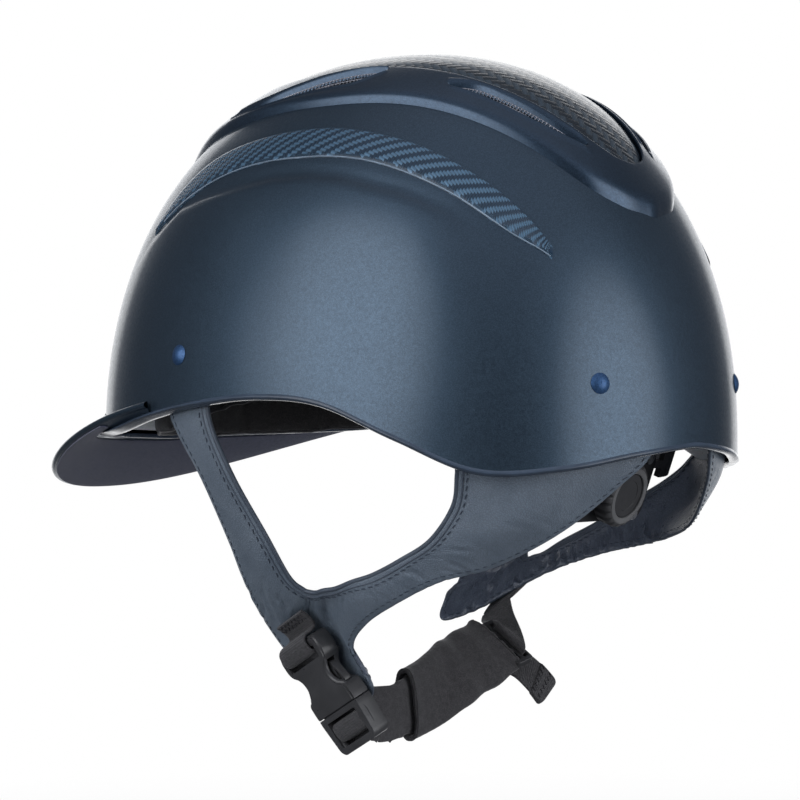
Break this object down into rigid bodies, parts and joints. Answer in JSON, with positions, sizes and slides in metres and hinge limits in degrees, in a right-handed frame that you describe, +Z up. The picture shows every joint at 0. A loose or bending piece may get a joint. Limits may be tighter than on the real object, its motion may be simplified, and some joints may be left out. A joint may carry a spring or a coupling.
{
  "type": "equestrian riding helmet",
  "caption": "Riding helmet with a peak, woven inlays, a dial-adjusted headband and a leather harness closed by a side-release buckle.",
  "frame": {"origin": "centre of the head opening, level with the shell's edge at the back", "axes": "+Z up to the crown, -Y the way the wearer looks, +X to the wearer's left"},
  "size_m": [0.2226, 0.3058, 0.2795],
  "materials": {
    "shell_paint": "satin",
    "frame_paint": "satin",
    "carbon_dark": "gloss",
    "carbon_blue": "gloss",
    "mesh_silver": "satin",
    "trim_gloss": "gloss",
    "lining_fabric": "matte",
    "foam_white": "matte",
    "rivet_blue": "satin",
    "washer_steel": "satin",
    "liner_fabric": "matte",
    "plastic_black": "matte",
    "dial_rubber": "matte",
    "dial_face": "matte",
    "pinion_nylon": "satin",
    "band_grey": "satin",
    "leather_navy": "satin",
    "webbing_black": "matte",
    "buckle_black": "satin",
    "chin_fabric": "matte"
  },
  "bodies": {
    "helmet": {"outer_shell": "shell_paint", "centre_frame": "frame_paint", "top_inlay": "carbon_dark", "side_inlay_left": "carbon_blue", "side_inlay_right": "carbon_blue", "vent_mesh_front_left": "mesh_silver", "vent_mesh_front_right": "mesh_silver", "vent_mesh_rear_left": "mesh_silver", "vent_mesh_rear_right": "mesh_silver", "rim_trim": "trim_gloss", "peak": "shell_paint", "peak_lining": "lining_fabric", "foam_liner": "foam_white", "harness_rivets": "rivet_blue", "rivet_washers": "washer_steel", "headband_pad": "liner_fabric", "crown_pad": "liner_fabric", "nape_pad": "liner_fabric", "nape_cradle": "plastic_black", "cradle_straps": "plastic_black", "dial_housing": "plastic_black", "housing_cover": "plastic_black", "housing_screws": "washer_steel", "left_harness": "leather_navy", "right_harness": "leather_navy", "buckle_loop": "webbing_black", "buckle_socket": "buckle_black"},
    "fit_dial": {"fit_dial": "dial_rubber", "dial_cap": "dial_face", "dial_pinion": "pinion_nylon"},
    "left_band": {"left_rack_band": "band_grey"},
    "right_band": {"right_rack_band": "band_grey"},
    "chin_strap": {"buckle_plug": "buckle_black", "plug_webbing": "webbing_black", "chin_strap_pad": "chin_fabric", "chin_sleeve": "chin_fabric", "strap_slider": "buckle_black", "slider_loop": "webbing_black", "webbing_tail": "webbing_black"},
    "front_prong": {"prong_front": "buckle_black"},
    "rear_prong": {"prong_rear": "buckle_black"}
  },
  "joints": [
    {"name": "dial_turn", "type": "hinge", "parent": "helmet", "child": "fit_dial", "pos_m": [0, 0.0895, -0.0179], "axis": [0, 0.9397, -0.342], "range_deg": [-75, 100]},
    {"name": "left_band_slide", "type": "slide", "parent": "helmet", "child": "left_band", "axis": [1, 0, 0], "range_m": [-0.0088, 0.0067]},
    {"name": "right_band_slide", "type": "slide", "parent": "helmet", "child": "right_band", "axis": [1, 0, 0], "range_m": [-0.0067, 0.0088]},
    {"name": "chin_strap_swing", "type": "hinge", "parent": "helmet", "child": "chin_strap", "pos_m": [-0.06826, -0.0024, -0.06655], "axis": [0.1303, 0.8723, 0.4712], "range_deg": [0, 58]},
    {"name": "front_prong_squeeze", "type": "hinge", "parent": "chin_strap", "child": "front_prong", "pos_m": [0.05174, -0.00748, -0.10702], "axis": [0.915, -0.1493, -0.3748], "range_deg": [-9, 0], "stiffness_Nm_per_rad": 0.25},
    {"name": "rear_prong_squeeze", "type": "hinge", "parent": "chin_strap", "child": "rear_prong", "pos_m": [0.05661, 0.00635, -0.10062], "axis": [0.915, -0.1493, -0.3748], "range_deg": [0, 9], "stiffness_Nm_per_rad": 0.25}
  ],
  "couplings": [
    {"joint": "left_band_slide", "follows": "dial_turn", "m_per_rad": -0.005},
    {"joint": "right_band_slide", "follows": "dial_turn", "m_per_rad": 0.005}
  ]
}
